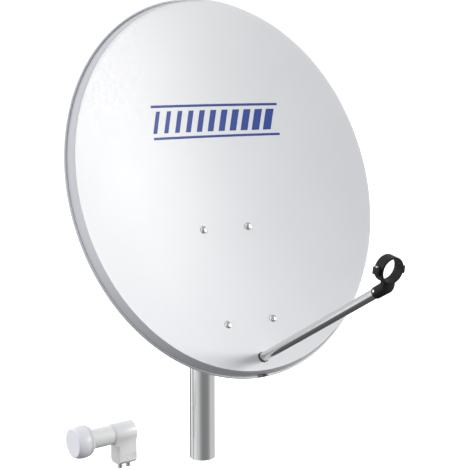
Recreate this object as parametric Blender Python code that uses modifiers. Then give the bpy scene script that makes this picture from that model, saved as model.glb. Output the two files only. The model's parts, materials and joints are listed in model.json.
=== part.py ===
"""Offset satellite dish on a round mast, with an azimuth clamp, an elevation hinge,
a feed arm with an open LNB clamp, and a loose LNB standing beside the mast.

Metres, +Z up. The origin is on the mast's axis at its cut lower end. The dish faces -Y.
Points on the dish are written as (x, v, d): x to the right, v up along the rim plane,
d forward along the rim plane's normal, all from the rim's centre.
"""
import math
from math import cos, pi, radians, sin, sqrt

import bmesh
import bpy
from mathutils import Matrix, Vector

# ---------------------------------------------------------------- driving dimensions
RIM_W, RIM_H = 0.675, 0.750          # front rim, an ellipse
FOCAL = 0.400                        # of the parent paraboloid
RIM_CENTRE = Vector((0.0, -0.129, 0.6065))
RIM_TILT = radians(18.2)             # rim normal above the horizon
SHEET = 0.0010                       # reflector sheet
LIP_DEPTH, LIP_FLARE = 0.0215, 0.0090
HEM_R = 0.0016
BOLT_DX, BOLT_DV, BOLT_V = 0.10570, 0.19430, -0.1797
GAP = 0.0003

MAST_R, MAST_WALL, MAST_TOP = 0.0270, 0.0025, 0.512
PIVOT = Vector((0.0, -0.094, 0.3835))        # elevation hinge, axis along X
LOCK_R, LOCK_ANGLE = 0.044, radians(12.0)    # lock bolt's place about the pivot
TILT_BACK, TILT_DOWN = radians(15), radians(25)
CHEEK_IN, PLATE = 0.0400, 0.0025             # dish bracket cheeks, inner face and thickness
WEB_Y = -0.0425                              # front face of the clamp bracket's web
UBOLT_R = 0.0030
UBOLT_Z = (0.3835, 0.4545)

ARM_R, ARM_WALL = 0.0090, 0.0015
ARM_HOLE = 0.0112                    # in the reflector, lined by a grommet
ARM_TIP = (0.0, -0.2743, 0.3815)     # inside the holder's socket
ARM_BASE = (0.0, -0.3510, -0.0155)   # where it passes through the reflector
RING_AT = (0.0, -0.2467, 0.3985)
RING_TILT = radians(28.8)
RING_IN, RING_OUT, RING_LEN = 0.0200, 0.0232, 0.0200
EAR_REACH, CAP_EAR, HOLDER_EAR = 0.0288, 0.0055, 0.0075     # from the axis out, and the ears' heights
SOCKET_AT = (0.0, -0.2794, 0.3560)   # centre of the socket's mouth
SOCKET_DEPTH = 0.0265
SLEEVE_R0, SLEEVE_R1 = 0.0105, 0.0113   # socket sleeve at its mouth and 55 mm on
POST_HALF, POST_FRONT, POST_BACK = 0.0122, -0.0063, 0.0022   # plate between ring and socket
POST_END = -0.0280                   # centre of the plate's round lower end, below the ring's centre

LNB_AT = Vector((-0.174, 0.038, 0.0))
LNB_TURN = radians(-86.0)

# ---------------------------------------------------------------- a clean scene
for old in list(bpy.data.objects):
    bpy.data.objects.remove(old, do_unlink=True)
PARTS = bpy.data.collections.new("satellite_dish")
TOOLS = bpy.data.collections.new("satellite_dish_cutters")
for group in (PARTS, TOOLS):
    bpy.context.scene.collection.children.link(group)

# ---------------------------------------------------------------- the dish's geometry
OFFSET = math.acos(RIM_W / RIM_H)
Y0 = 2.0 * FOCAL * math.tan(OFFSET)
Z0 = (Y0 ** 2 + (RIM_W / 2) ** 2) / (4.0 * FOCAL)
SO, CO = sin(OFFSET), cos(OFFSET)
DISH = Matrix.Translation(RIM_CENTRE) @ Matrix.Rotation(-RIM_TILT, 4, 'X')


def at(x, v, d):
    """World point of a place on the dish."""
    return DISH @ Vector((x, -d, v))


def along(x, v, d):
    """World direction of a direction on the dish."""
    return (DISH.to_3x3() @ Vector((x, -d, v))).normalized()


def bowl(x, v):
    """Depth d of the paraboloid at (x, v)."""
    b = 2.0 * SO * (Y0 + v * CO) + 4.0 * FOCAL * CO
    c = x * x + (Y0 + v * CO) ** 2 - 4.0 * FOCAL * (Z0 + v * SO)
    return (b - sqrt(b * b - 4.0 * SO * SO * c)) / (2.0 * SO * SO)


def bowl_normal(x, v):
    """Unit normal (x, v, d) of the reflecting face."""
    y = Y0 + v * CO - bowl(x, v) * SO
    n = Vector((-x / (2 * FOCAL), -y / (2 * FOCAL), 1.0)).normalized()
    return Vector((n.x, n.y * CO + n.z * SO, -n.y * SO + n.z * CO))


def behind(x, v, depth):
    """World point a given depth behind the reflecting face."""
    n = bowl_normal(x, v)
    return at(x - n.x * depth, v - n.y * depth, bowl(x, v) - n.z * depth)


def frame_on(origin, axis, x_hint=(1.0, 0.0, 0.0)):
    """Matrix at origin whose Z runs along axis."""
    z = Vector(axis).normalized()
    x = (Vector(x_hint) - z * Vector(x_hint).dot(z)).normalized()
    m = Matrix((x, z.cross(x), z)).transposed().to_4x4()
    m.translation = origin
    return m


# ---------------------------------------------------------------- materials and helpers
def material(name, colour, rough, metal=0.0):
    mat = bpy.data.materials.new(name)
    mat.use_nodes = True
    shader = mat.node_tree.nodes["Principled BSDF"]
    shader.inputs["Base Color"].default_value = (*colour, 1.0)
    shader.inputs["Roughness"].default_value = rough
    shader.inputs["Metallic"].default_value = metal
    return mat


PAINT = material("painted_sheet", (0.70, 0.71, 0.72), 0.45)
GALV = material("galvanised_tube", (0.60, 0.61, 0.60), 0.38, 0.9)
STAMPED = material("galvanised_plate", (0.52, 0.53, 0.53), 0.50, 0.85)
ZINC = material("zinc_fastener", (0.66, 0.66, 0.64), 0.30, 1.0)
BLACK = material("black_plastic", (0.020, 0.020, 0.022), 0.50)
WHITE = material("white_plastic", (0.80, 0.80, 0.84), 0.40)
GREY = material("grey_plastic", (0.45, 0.46, 0.48), 0.45)
SHELL = material("lnb_housing", (0.62, 0.63, 0.64), 0.45)
NICKEL = material("nickel_connector", (0.70, 0.66, 0.56), 0.25, 1.0)


def smooth(mesh, angle=35):
    mesh.shade_smooth()
    mesh.set_sharp_from_angle(angle=radians(angle))


def add(name, mesh, mat, matrix=None, parent=None):
    """A named part, placed in the world and then parented without moving."""
    obj = bpy.data.objects.new(name, mesh)
    if mat is None:
        TOOLS.objects.link(obj)
        obj.hide_render = True
        obj.display_type = 'WIRE'
    else:
        PARTS.objects.link(obj)
        mesh.materials.clear()
        mesh.materials.append(mat)
    obj.matrix_world = matrix or Matrix.Identity(4)
    if parent:
        obj.parent = parent
        obj.matrix_parent_inverse = parent.matrix_world.inverted()
    return obj


def mesh_of(bm, name, angle=35):
    mesh = bpy.data.meshes.new(name)
    bm.to_mesh(mesh)
    bm.free()
    smooth(mesh, angle)
    return mesh


def drum(name, r1, r2, z0, z1, sides=32):
    """A closed cone or cylinder mesh from z0 (radius r1) to z1 (radius r2)."""
    bm = bmesh.new()
    bmesh.ops.create_cone(bm, cap_ends=True, segments=sides, radius1=r1, radius2=r2, depth=z1 - z0,
                          matrix=Matrix.Translation((0, 0, (z0 + z1) / 2)))
    return mesh_of(bm, name)


def block(name, size, centre=(0, 0, 0)):
    bm = bmesh.new()
    bmesh.ops.create_cube(bm, size=1.0, matrix=Matrix.Translation(centre) @ Matrix.Diagonal((*size, 1.0)))
    return mesh_of(bm, name)


def outline_mesh(name, points, thickness):
    """A flat plate: a filled 2D curve in XY, extruded to both sides of z = 0."""
    curve = bpy.data.curves.new(name + "_outline", 'CURVE')
    curve.dimensions = '2D'
    curve.fill_mode = 'BOTH'
    curve.extrude = thickness / 2
    line = curve.splines.new('POLY')
    line.points.add(len(points) - 1)
    for point, (x, y) in zip(line.points, points):
        point.co = (x, y, 0.0, 1.0)
    line.use_cyclic_u = True
    return solid_from_curve(name, curve)


def solid_from_curve(name, curve):
    """The welded mesh of a curve object; the curve itself is removed."""
    guide = bpy.data.objects.new(name + "_guide", curve)
    TOOLS.objects.link(guide)
    bpy.context.view_layer.update()
    mesh = bpy.data.meshes.new_from_object(guide.evaluated_get(bpy.context.evaluated_depsgraph_get()))
    bpy.data.objects.remove(guide, do_unlink=True)
    bm = bmesh.new()
    bm.from_mesh(mesh)
    bmesh.ops.remove_doubles(bm, verts=bm.verts, dist=0.00001)
    bmesh.ops.recalc_face_normals(bm, faces=bm.faces)
    bm.to_mesh(mesh)
    bm.free()
    mesh.name = name
    smooth(mesh)
    return mesh


def boolean(target, other, how='DIFFERENCE'):
    mod = target.modifiers.new(how.lower() + "_" + other.name, 'BOOLEAN')
    mod.operation = how
    mod.solver = 'EXACT'
    mod.object = other


def bevel(obj, width, segments=2, angle=40):
    mod = obj.modifiers.new("rounded_edges", 'BEVEL')
    mod.width = width
    mod.segments = segments
    mod.limit_method = 'ANGLE'
    mod.angle_limit = radians(angle)
    mod.harden_normals = False


def turned(name, profile, sides, mat, matrix=None, parent=None, closed=False):
    """A turned part: a profile of (radius, height) about Z with a Screw modifier."""
    bm = bmesh.new()
    verts = [bm.verts.new((r, 0.0, z)) for r, z in profile]
    for a, b in zip(verts, verts[1:]):
        bm.edges.new((a, b))
    if closed:
        bm.edges.new((verts[-1], verts[0]))
    mesh = bpy.data.meshes.new(name)
    bm.to_mesh(mesh)
    bm.free()
    obj = add(name, mesh, mat, matrix, parent)
    mod = obj.modifiers.new("turned", 'SCREW')
    mod.steps = mod.render_steps = sides
    mod.use_merge_vertices = True
    mod.merge_threshold = 0.00002
    mod.use_smooth_shade = True
    return obj


def empty(name, location, parent=None):
    obj = bpy.data.objects.new(name, None)
    obj.empty_display_size = 0.05
    PARTS.objects.link(obj)
    obj.location = location
    bpy.context.view_layer.update()
    if parent:
        obj.parent = parent
        obj.matrix_parent_inverse = parent.matrix_world.inverted()
        bpy.context.view_layer.update()
    return obj


def hex_nut(name, across, thick, bore, matrix, parent):
    """A hexagon nut standing on z = 0, with a chamfered far face."""
    r = across / sqrt(3.0)
    bm = bmesh.new()
    bmesh.ops.create_cone(bm, cap_ends=True, segments=6, radius1=r, radius2=r, depth=thick,
                          matrix=Matrix.Translation((0, 0, thick / 2)))
    nut = add(name, mesh_of(bm, name, 20), ZINC, matrix, parent)
    tool = drum(name + "_bore", bore, bore, -0.001, thick + 0.001, 12)
    boolean(nut, add(name + "_bore", tool, None, matrix))
    return nut


def hex_bolt(name, across, head, shank_r, length, matrix, parent):
    """A hexagon-headed bolt: head from z = 0 up, shank from z = 0 down."""
    r = across / sqrt(3.0)
    bolt = add(name, drum(name, r, r, 0.0, head, 6), ZINC, matrix, parent)
    shank = drum(name + "_shank", shank_r, shank_r, -length, head / 2, 12)
    boolean(bolt, add(name + "_shank", shank, None, matrix), 'UNION')
    return bolt


# ---------------------------------------------------------------- joints' empties
mast_axis = empty("axis_azimuth", (0, 0, 0))
tilt_axis = empty("axis_elevation", PIVOT, mast_axis)

# ---------------------------------------------------------------- mast
turned("mast_tube",
       [(MAST_R, MAST_TOP), (MAST_R, 0.0), (MAST_R - MAST_WALL, 0.0), (MAST_R - MAST_WALL, MAST_TOP)],
       36, GALV, closed=True)
plug = MAST_R - MAST_WALL - GAP
turned("mast_cap",
       [(0.0, 0.0045), (MAST_R - 0.004, 0.0043), (MAST_R, 0.0030), (MAST_R + 0.0004, 0.0), (plug, 0.0),
        (plug - 0.0006, -0.014), (plug - 0.0025, -0.014), (plug - 0.0025, 0.0012), (0.0, 0.0012)],
       32, BLACK, Matrix.Translation((0, 0, MAST_TOP + GAP)))

# ---------------------------------------------------------------- azimuth clamp
WEB_BOTTOM, WEB_TOP = 0.3535, 0.4835
CLAMP_X = CHEEK_IN + PLATE + GAP             # inner face of the clamp bracket's cheeks
lock = PIVOT + Vector((0, LOCK_R * sin(LOCK_ANGLE), LOCK_R * cos(LOCK_ANGLE)))

bracket = add("clamp_bracket",
              block("clamp_bracket", (2 * (CLAMP_X + PLATE), PLATE, WEB_TOP - WEB_BOTTOM),
                    (0, WEB_Y + PLATE / 2, (WEB_TOP + WEB_BOTTOM) / 2)),
              STAMPED, None, mast_axis)


def arc(centre, radius, start, stop, count):
    """Points on an arc in (y, z); angles in degrees from +y towards +z."""
    return [(centre[0] + radius * cos(radians(start + (stop - start) * i / (count - 1))),
             centre[1] + radius * sin(radians(start + (stop - start) * i / (count - 1))))
            for i in range(count)]


def cheek(name, points, inner_x, side):
    """A flat plate in the YZ plane; points are (y, z)."""
    mesh = outline_mesh(name, points, PLATE)
    turn = Matrix(((0, 0, 1, side * (inner_x + PLATE / 2)), (1, 0, 0, 0), (0, 1, 0, 0), (0, 0, 0, 1)))
    return add(name, mesh, None, turn)


clamp_outline = ([(WEB_Y + PLATE, WEB_BOTTOM), (PIVOT.y + 0.030, WEB_BOTTOM)]
                 + arc((PIVOT.y, PIVOT.z), 0.0145, 290, 130, 9)
                 + arc((lock.y, lock.z), 0.0135, 175, 90, 6)
                 + [(-0.062, WEB_TOP), (WEB_Y + PLATE, WEB_TOP)])
for side, tag in ((-1, "left"), (1, "right")):
    boolean(bracket, cheek("clamp_cheek_" + tag, clamp_outline, CLAMP_X, side), 'UNION')


def bore_x(name, centre, radius, sides=16):
    """A cutter along X through both cheeks."""
    return add(name, drum(name, radius, radius, -0.08, 0.08, sides), None,
               frame_on(Vector((0, centre[0], centre[1])), (1, 0, 0), (0, 1, 0)))


pivot_bore = bore_x("bore_pivot", (PIVOT.y, PIVOT.z), 0.0043)
boolean(bracket, pivot_bore)
boolean(bracket, bore_x("bore_lock", (lock.y, lock.z), 0.0043))

ubolt_x = MAST_R + GAP + UBOLT_R
NUT6 = 0.0050
for z, tag in zip(UBOLT_Z, ("lower", "upper")):
    saddle_front = WEB_Y + PLATE + GAP
    saddle = add("clamp_saddle_" + tag,
                 block("clamp_saddle_" + tag, (0.044, 0.0205, 0.014), (0, saddle_front + 0.01025, z)),
                 STAMPED, None, mast_axis)
    bevel(saddle, 0.0008, 1)
    boolean(saddle, add("mast_room_" + tag, drum("mast_room_" + tag, MAST_R + GAP, MAST_R + GAP,
                                                 z - 0.02, z + 0.02, 48), None))
    path = ([(-ubolt_x, -0.060), (-ubolt_x, -0.030)]
            + [(-ubolt_x * cos(pi * i / 10), ubolt_x * sin(pi * i / 10)) for i in range(11)]
            + [(ubolt_x, -0.030), (ubolt_x, -0.060)])
    wire = bpy.data.curves.new("ubolt_" + tag, 'CURVE')
    wire.dimensions = '3D'
    wire.bevel_depth = UBOLT_R
    wire.bevel_resolution = 1
    wire.use_fill_caps = True
    line = wire.splines.new('POLY')
    line.points.add(len(path) - 1)
    for point, (x, y) in zip(line.points, path):
        point.co = (x, y, 0.0, 1.0)
    rod = bpy.data.objects.new("ubolt_" + tag, wire)
    PARTS.objects.link(rod)
    wire.materials.append(ZINC)
    rod.location = (0, 0, z)
    rod.parent = mast_axis
    for side, hand in ((-1, "left"), (1, "right")):
        leg = frame_on(Vector((side * ubolt_x, WEB_Y - GAP, z)), (0, -1, 0))
        hex_nut("ubolt_nut_" + tag + "_" + hand, 0.010, NUT6, UBOLT_R + GAP, leg, mast_axis)
        hole = drum("leg_hole_" + tag + hand, UBOLT_R + GAP, UBOLT_R + GAP, -0.01, 0.01, 16)
        boolean(bracket, add("leg_hole_" + tag + "_" + hand, hole, None, leg))

NUT8, HEAD8 = 0.0065, 0.0053
for side, tag in ((-1, "left"), (1, "right")):
    outer = Vector((side * (CLAMP_X + PLATE + GAP), PIVOT.y, PIVOT.z))
    hex_bolt("pivot_bolt_" + tag, 0.013, HEAD8, 0.0040, 0.0155,
             frame_on(outer, (side, 0, 0), (0, 1, 0)), mast_axis)
    inner = Vector((side * (CHEEK_IN - GAP), PIVOT.y, PIVOT.z))
    hex_nut("pivot_nut_" + tag, 0.013, NUT8, 0.0043,
            frame_on(inner, (-side, 0, 0), (0, 1, 0)), mast_axis)
    outer = Vector((side * (CLAMP_X + PLATE + GAP), lock.y, lock.z))
    hex_bolt("lock_bolt_" + tag, 0.013, HEAD8, 0.0040, 0.0155,
             frame_on(outer, (side, 0, 0), (0, 1, 0)), mast_axis)
    inner = Vector((side * (CHEEK_IN - GAP), lock.y, lock.z))
    hex_nut("lock_nut_" + tag, 0.013, NUT8, 0.0043,
            frame_on(inner, (-side, 0, 0), (0, 1, 0)), mast_axis)

# ---------------------------------------------------------------- reflector
AROUND = 72


def reflector_sheet(around, rings):
    """The front and outer skin: a profile spun about the middle, then laid on the paraboloid."""
    slant = Vector((LIP_FLARE, -LIP_DEPTH)).normalized()          # down the lip: (outward, d)
    out = Vector((-slant.y, slant.x))                             # the lip's outer side
    curl_at = Vector((LIP_FLARE, -LIP_DEPTH)) + out * HEM_R
    edge = [(-0.0016, None), (-0.0004, -0.0003), (slant.x * 0.0016, slant.y * 0.0016),
            (LIP_FLARE / 2, -LIP_DEPTH / 2), (LIP_FLARE, -LIP_DEPTH)]
    for step in range(1, 4):
        turn = radians(60 * step)
        spot = curl_at + (slant * sin(turn) - out * cos(turn)) * HEM_R
        edge.append((spot.x, spot.y))
    count = rings + len(edge)
    bm = bmesh.new()
    verts = [bm.verts.new((float(i), 0, 0)) for i in range(count)]
    for a, b in zip(verts, verts[1:]):
        bm.edges.new((a, b))
    bmesh.ops.spin(bm, geom=bm.verts[:] + bm.edges[:], cent=(0, 0, 0), axis=(0, 0, 1), dvec=(0, 0, 0),
                   angle=2 * pi, steps=around, use_merge=True, use_duplicate=False)
    bmesh.ops.remove_doubles(bm, verts=bm.verts, dist=0.0001)
    a, b = RIM_W / 2, RIM_H / 2
    for vert in bm.verts:
        index = round(sqrt(vert.co.x ** 2 + vert.co.y ** 2))
        turn = math.atan2(vert.co.y, vert.co.x)
        c, s = cos(turn), sin(turn)
        if index < rings:
            share = index / rings
            x, v = a * c * share, b * s * share
            vert.co = (x, v, bowl(x, v))
            continue
        push, depth = edge[index - rings]
        normal = Vector((c / a, s / b)).normalized()
        x, v = a * c + normal.x * push, b * s + normal.y * push
        vert.co = (x, v, bowl(x, v) if depth is None else depth)
    for vert in bm.verts:
        vert.co = (vert.co.x, -vert.co.z, vert.co.y)
    bmesh.ops.recalc_face_normals(bm, faces=bm.faces)
    front = min(bm.faces, key=lambda f: f.calc_center_median().xz.length)
    if front.normal.y > 0:
        bmesh.ops.reverse_faces(bm, faces=bm.faces)
    return mesh_of(bm, "reflector", 40)


reflector = add("reflector", reflector_sheet(AROUND, 8), PAINT, DISH, tilt_axis)
skin = reflector.modifiers.new("sheet", 'SOLIDIFY')
skin.thickness = SHEET
skin.offset = -1.0
skin.use_even_offset = True

arm_line = Vector(ARM_TIP) - Vector(ARM_BASE)
arm_dir = along(arm_line.x, arm_line.y, arm_line.z)
arm_hole = add("arm_hole", drum("arm_hole", ARM_HOLE, ARM_HOLE, -0.04, 0.04, 28), None,
               frame_on(at(*ARM_BASE), arm_dir))
boolean(reflector, arm_hole)
drain_at = frame_on(at(-0.0060, -RIM_H / 2 - LIP_FLARE * 0.85, -LIP_DEPTH * 0.85),
                    along(0, -LIP_DEPTH, LIP_FLARE))
DRAIN_END, DRAIN_HALF = 0.0070, 0.0028
drain = outline_mesh("drain_slot",
                     arc((DRAIN_END, 0), DRAIN_HALF, -90, 90, 7)
                     + arc((-DRAIN_END, 0), DRAIN_HALF, 90, 270, 7), 0.012)
boolean(reflector, add("drain_slot", drain, None, drain_at))
# the punched tongue, bent inwards along the slot's rear edge
tongue = block("drain_tongue", (2 * DRAIN_END + 0.0070, 0.0010, 0.0045),
               (0.0020, -DRAIN_HALF - 0.0006, -0.00275))
boolean(reflector, add("drain_tongue", tongue, None, drain_at), 'UNION')

# ---------------------------------------------------------------- dish bracket, behind the reflector
BACK = SHEET + GAP                           # the bracket's front face behind the reflecting face
PLATE_V0, PLATE_V1, PLATE_X = -0.302, -0.058, 0.070

bm = bmesh.new()
bmesh.ops.create_grid(bm, x_segments=8, y_segments=10, size=1.0)
for vert in bm.verts:
    s, t = vert.co.x, vert.co.y
    narrow = 1.0 - 0.14 * max(0.0, abs(t) - 0.80) / 0.20
    x = PLATE_X * s * narrow
    v = (PLATE_V0 + PLATE_V1) / 2 + (PLATE_V1 - PLATE_V0) / 2 * t
    vert.co = behind(x, v, BACK)
bmesh.ops.recalc_face_normals(bm, faces=bm.faces)
if max(bm.faces, key=lambda f: f.calc_area()).normal.y > 0:
    bmesh.ops.reverse_faces(bm, faces=bm.faces)
bracket_mesh = mesh_of(bm, "dish_bracket")
dish_bracket = add("dish_bracket", bracket_mesh, STAMPED, None, tilt_axis)
wall = dish_bracket.modifiers.new("plate", 'SOLIDIFY')
wall.thickness = 0.0020
wall.offset = -1.0

ARM_END = (0.0, -0.2620, -0.0810)            # cross bolt through the arm's rear end
arm_end = at(*ARM_END)
front_edge = []
for i in range(9):
    v = -0.118 - (0.292 - 0.118) * i / 8
    spot = behind(CHEEK_IN + PLATE / 2, v, BACK + 0.0010)
    front_edge.append((spot.y, spot.z))
SLOT_FRONT = 90 - math.degrees(LOCK_ANGLE) + math.degrees(TILT_BACK)
SLOT_REAR = 90 - math.degrees(LOCK_ANGLE) - math.degrees(TILT_DOWN)
side_outline = (front_edge
                + [(arm_end.y - 0.012, arm_end.z - 0.013)]
                + arc((arm_end.y, arm_end.z), 0.0125, 250, 320, 4)
                + arc((PIVOT.y, PIVOT.z), 0.0150, 290, 365, 5)
                + arc((PIVOT.y, PIVOT.z), LOCK_R + 0.0095, SLOT_REAR - 8, SLOT_FRONT + 12, 8))
for side, tag in ((-1, "left"), (1, "right")):
    boolean(dish_bracket, cheek("dish_cheek_" + tag, side_outline, CHEEK_IN, side), 'UNION')
boolean(dish_bracket, pivot_bore)

def slot_shape(radius, half, start, stop):
    """An arc slot with round ends about the pivot, as (y, z) points."""
    points = arc((PIVOT.y, PIVOT.z), radius + half, start, stop, 12)
    end = radians(stop)
    points += arc((PIVOT.y + radius * cos(end), PIVOT.z + radius * sin(end)), half, stop + 22, stop + 158, 6)
    points += arc((PIVOT.y, PIVOT.z), radius - half, stop, start, 12)
    end = radians(start)
    middle = (PIVOT.y + radius * cos(end), PIVOT.z + radius * sin(end))
    points += arc(middle, half, start + 202, start + 338, 6)
    return points


slot_mesh = outline_mesh("lock_slot", slot_shape(LOCK_R, 0.0045, SLOT_REAR - 1, SLOT_FRONT + 1), 0.16)
boolean(dish_bracket, add("lock_slot", slot_mesh, None,
                          Matrix(((0, 0, 1, 0), (1, 0, 0, 0), (0, 1, 0, 0), (0, 0, 0, 1)))))
boolean(dish_bracket, bore_x("bore_arm_bolt", (arm_end.y, arm_end.z), 0.0033, 16))

# ---------------------------------------------------------------- carriage bolts and their nuts
HEAD_R, HEAD_H, SHANK_R = 0.0078, 0.0040, 0.0030
SEAT = 0.0006                                # the head's underside above the reflecting face
dome = [(0.0, HEAD_H)] + [(HEAD_R * sin(radians(25 * i)), SEAT + (HEAD_H - SEAT) * cos(radians(25 * i)))
                          for i in range(1, 4)]
dome += [(HEAD_R, SEAT + 0.0006), (HEAD_R - 0.0002, SEAT), (SHANK_R, SEAT),
         (SHANK_R, -0.0150), (0.0, -0.0150)]
spots = [(sx, sv) for sv in (1, -1) for sx in (-1, 1)]
for (sx, sv), tag in zip(spots, ("upper_left", "upper_right", "lower_left", "lower_right")):
    x, v = sx * BOLT_DX / 2, BOLT_V + sv * BOLT_DV / 2
    n = bowl_normal(x, v)
    seat = frame_on(at(x, v, bowl(x, v)), along(n.x, n.y, n.z))
    hole = add("bolt_hole_" + tag, drum("bolt_hole_" + tag, SHANK_R + GAP, SHANK_R + GAP, -0.012, 0.006, 16),
               None, seat)
    boolean(reflector, hole)
    boolean(dish_bracket, hole)
    turned("dish_bolt_" + tag, dome, 16, ZINC, seat, tilt_axis)
    under = seat @ Matrix.Translation((0, 0, -(BACK + 0.0020 + GAP))) @ Matrix.Rotation(pi, 4, 'X')
    hex_nut("dish_nut_" + tag, 0.010, 0.0055, SHANK_R + GAP, under, tilt_axis)

# ---------------------------------------------------------------- feed arm
back_dir = (Vector(ARM_BASE) - Vector(ARM_TIP)).normalized()
bend = Vector(ARM_BASE) + back_dir * 0.0500
rise = (Vector(ARM_END) - bend).normalized()
BEND_R = 0.030
half_turn = back_dir.angle(rise) / 2
trim = BEND_R * math.tan(half_turn)
start, stop = bend - back_dir * trim, bend + rise * trim
hub = bend + (rise - back_dir).normalized() * (BEND_R / cos(half_turn))
route = [Vector(ARM_TIP), start + (Vector(ARM_TIP) - start) * 0.5, start]
for i in range(1, 5):
    share = i / 5
    leg = ((start - hub) * sin((1 - share) * 2 * half_turn) + (stop - hub) * sin(share * 2 * half_turn))
    route.append(hub + leg / sin(2 * half_turn))
route += [stop, Vector(ARM_END) + rise * 0.010]
pipe = bpy.data.curves.new("feed_arm_path", 'CURVE')
pipe.dimensions = '3D'
pipe.bevel_depth = ARM_R
pipe.bevel_resolution = 3
line = pipe.splines.new('POLY')
line.points.add(len(route) - 1)
for point, spot in zip(line.points, route):
    point.co = (*at(*spot), 1.0)
arm = add("feed_arm", solid_from_curve("feed_arm", pipe), GALV, None, tilt_axis)
wall = arm.modifiers.new("tube_wall", 'SOLIDIFY')
wall.thickness = ARM_WALL
wall.offset = -1.0
boolean(arm, bore_x("bore_arm_cross", (arm_end.y, arm_end.z), 0.0033, 16))

for side, tag in ((-1, "left"), (1, "right")):
    length = CHEEK_IN - ARM_R - 2 * GAP
    spot = frame_on(Vector((side * (ARM_R + GAP), arm_end.y, arm_end.z)), (side, 0, 0), (0, 1, 0))
    turned("arm_spacer_" + tag, [(0.0060, length), (0.0060, 0.0), (0.0034, 0.0), (0.0034, length)],
           16, ZINC, spot, tilt_axis, closed=True)
outer = Vector((-(CHEEK_IN + PLATE + GAP), arm_end.y, arm_end.z))
hex_bolt("arm_bolt", 0.010, 0.0040, 0.0030, 0.0925, frame_on(outer, (-1, 0, 0), (0, 1, 0)), tilt_axis)
outer.x = -outer.x
hex_nut("arm_nut", 0.010, 0.0050, 0.0033, frame_on(outer, (1, 0, 0), (0, 1, 0)), tilt_axis)

# a thin rubber ring lines the arm's hole, trimmed to the reflector's slope
hole_v = ARM_BASE[1]
face_out = behind(0, hole_v, -0.001) - behind(0, hole_v, 0.001)
grommet = turned("arm_grommet", [(ARM_HOLE - GAP, 0.016), (ARM_HOLE - GAP, -0.016),
                                 (ARM_R + GAP, -0.016), (ARM_R + GAP, 0.016)],
                 28, BLACK, frame_on(at(*ARM_BASE), arm_dir), tilt_axis, closed=True)
slab = block("grommet_slab", (0.06, 0.06, 0.0024))
boolean(grommet, add("grommet_slab", slab, None, frame_on(behind(0, hole_v, 0.0005), face_out)), 'INTERSECT')

# ---------------------------------------------------------------- LNB holder on the arm's tip
socket_axis = along(arm_line.x, arm_line.y, arm_line.z)
socket = frame_on(at(*SOCKET_AT), socket_axis)
ring_axis = along(0, sin(RING_TILT), -cos(RING_TILT))            # towards the dish
ring_up = along(0, cos(RING_TILT), sin(RING_TILT))
ring = Matrix((Vector((1, 0, 0)), ring_up.cross(Vector((1, 0, 0))), ring_up)).transposed().to_4x4()
ring.translation = at(*RING_AT)


def half_ring(name, sign, thick, parent):
    """Half of the clamp ring with its two ears; local X across, local Y along the bore, local Z up."""
    beyond = 0.0040                          # past the split, trimmed off later
    body = add(name, drum(name, RING_OUT, RING_OUT, -RING_LEN / 2, RING_LEN / 2, 40), BLACK,
               ring @ Matrix.Rotation(pi / 2, 4, 'X'), parent)
    bevel(body, 0.0007, 1)
    for side, tag in ((-1, "left"), (1, "right")):
        ear = block(name + "_ear", (EAR_REACH - RING_IN - 0.0010, 0.0150, thick + beyond),
                    (side * (EAR_REACH + RING_IN + 0.0010) / 2, 0, sign * (thick - beyond) / 2))
        operand = add(name + "_ear_" + tag, ear, None, ring)
        bevel(operand, 0.0012, 2)
        boolean(body, operand, 'UNION')
    return body


def finish_half(body, sign):
    """Bores the half through and trims it at the split plane."""
    boolean(body, ring_bore)
    spare = block(body.name + "_spare_half", (0.08, 0.06, 0.04), (0, 0, -sign * (0.02 - GAP / 2)))
    boolean(body, add(body.name + "_spare_half", spare, None, ring))


ring_bore = add("ring_bore", drum("ring_bore", RING_IN, RING_IN, -0.03, 0.03, 40), None,
                ring @ Matrix.Rotation(pi / 2, 4, 'X'))
holder = half_ring("lnb_holder", -1, HOLDER_EAR, tilt_axis)
sleeve = add("holder_sleeve", drum("holder_sleeve", SLEEVE_R0, SLEEVE_R1, 0.0, 0.0550, 24), None, socket)
bevel(sleeve, 0.0008, 2)
beyond_post = block("beyond_post", (0.08, 0.04, 0.08), (0, POST_FRONT + 0.0005 - 0.02, POST_END))
boolean(sleeve, add("beyond_post", beyond_post, None, ring))
post_outline = ([(-POST_HALF, -0.0150)] + arc((0, POST_END), POST_HALF, 180, 360, 13)
                + [(POST_HALF, -0.0150)])
post_mid = (POST_FRONT + POST_BACK) / 2
post_turn = ring @ Matrix(((1, 0, 0, 0), (0, 0, -1, post_mid), (0, 1, 0, 0), (0, 0, 0, 1)))
post = add("holder_post", outline_mesh("holder_post", post_outline, POST_BACK - POST_FRONT), None, post_turn)
bevel(post, 0.0010, 2)
boolean(holder, sleeve, 'UNION')
boolean(holder, post, 'UNION')
finish_half(holder, -1)
socket_bore = drum("socket_bore", ARM_R + 2 * GAP, ARM_R + 2 * GAP, -0.005, SOCKET_DEPTH, 24)
boolean(holder, add("socket_bore", socket_bore, None, socket))

top_axis = empty("axis_clamp_cap", ring.translation, tilt_axis)
cap = half_ring("lnb_clamp_cap", 1, CAP_EAR, top_axis)
finish_half(cap, 1)
for side, tag in ((-1, "left"), (1, "right")):
    spot = ring @ Matrix.Translation((side * (EAR_REACH - 0.0029), 0, CAP_EAR))
    hole = add("clamp_screw_hole_" + tag, drum("clamp_screw_hole_" + tag, 0.0018, 0.0018, -0.02, 0.01, 12),
               None, spot)
    boolean(holder, hole)
    boolean(cap, hole)
    pan = [(0.0, 0.0022), (0.0017, 0.0020), (0.0027, 0.0013), (0.0030, GAP), (0.0015, GAP), (0.0015, -0.0105),
           (0.0, -0.0105)]
    turned("clamp_screw_" + tag, pan, 12, ZINC, spot, top_axis)

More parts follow.
